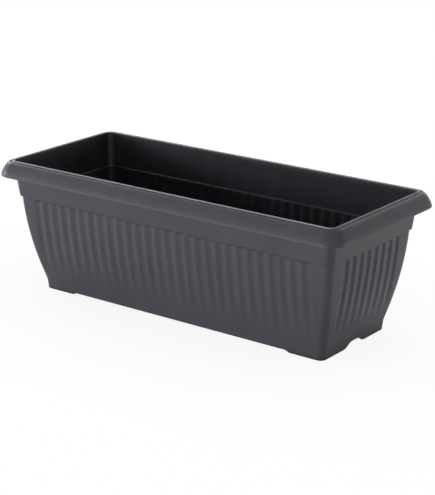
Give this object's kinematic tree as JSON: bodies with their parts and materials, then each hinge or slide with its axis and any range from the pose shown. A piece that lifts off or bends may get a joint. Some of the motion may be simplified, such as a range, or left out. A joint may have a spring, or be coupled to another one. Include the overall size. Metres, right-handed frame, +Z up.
{
  "type": "window box planter",
  "caption": "Long rectangular window box with a turned-down rim, plain collar, fluted bowed walls, corner feet and push-in drain plugs.",
  "frame": {"origin": "on the ground, under the middle of the box", "axes": "+X along the box, +Y across it towards the back, +Z up"},
  "size_m": [0.6, 0.26, 0.2],
  "materials": {
    "trough_plastic": "satin moulded polypropylene, anthracite grey, even and slightly sheeny, with the faint flow and scuff marks of a moulding",
    "plug_plastic": "matte soft plastic, a shade darker than the trough"
  },
  "bodies": {
    "trough": {"trough": "trough_plastic"},
    "drain_plug_1": {"drain_plug_1": "plug_plastic"},
    "drain_plug_2": {"drain_plug_2": "plug_plastic"},
    "drain_plug_3": {"drain_plug_3": "plug_plastic"},
    "drain_plug_4": {"drain_plug_4": "plug_plastic"},
    "drain_plug_5": {"drain_plug_5": "plug_plastic"},
    "drain_plug_6": {"drain_plug_6": "plug_plastic"},
    "drain_plug_7": {"drain_plug_7": "plug_plastic"},
    "drain_plug_8": {"drain_plug_8": "plug_plastic"}
  },
  "joints": [
    {"name": "drain_plug_1_pull", "type": "slide", "parent": "trough", "child": "drain_plug_1", "axis": [0, 0, 1], "range_m": [0, 0.012]},
    {"name": "drain_plug_2_pull", "type": "slide", "parent": "trough", "child": "drain_plug_2", "axis": [0, 0, 1], "range_m": [0, 0.012]},
    {"name": "drain_plug_3_pull", "type": "slide", "parent": "trough", "child": "drain_plug_3", "axis": [0, 0, 1], "range_m": [0, 0.012]},
    {"name": "drain_plug_4_pull", "type": "slide", "parent": "trough", "child": "drain_plug_4", "axis": [0, 0, 1], "range_m": [0, 0.012]},
    {"name": "drain_plug_5_pull", "type": "slide", "parent": "trough", "child": "drain_plug_5", "axis": [0, 0, 1], "range_m": [0, 0.012]},
    {"name": "drain_plug_6_pull", "type": "slide", "parent": "trough", "child": "drain_plug_6", "axis": [0, 0, 1], "range_m": [0, 0.012]},
    {"name": "drain_plug_7_pull", "type": "slide", "parent": "trough", "child": "drain_plug_7", "axis": [0, 0, 1], "range_m": [0, 0.012]},
    {"name": "drain_plug_8_pull", "type": "slide", "parent": "trough", "child": "drain_plug_8", "axis": [0, 0, 1], "range_m": [0, 0.012]}
  ]
}
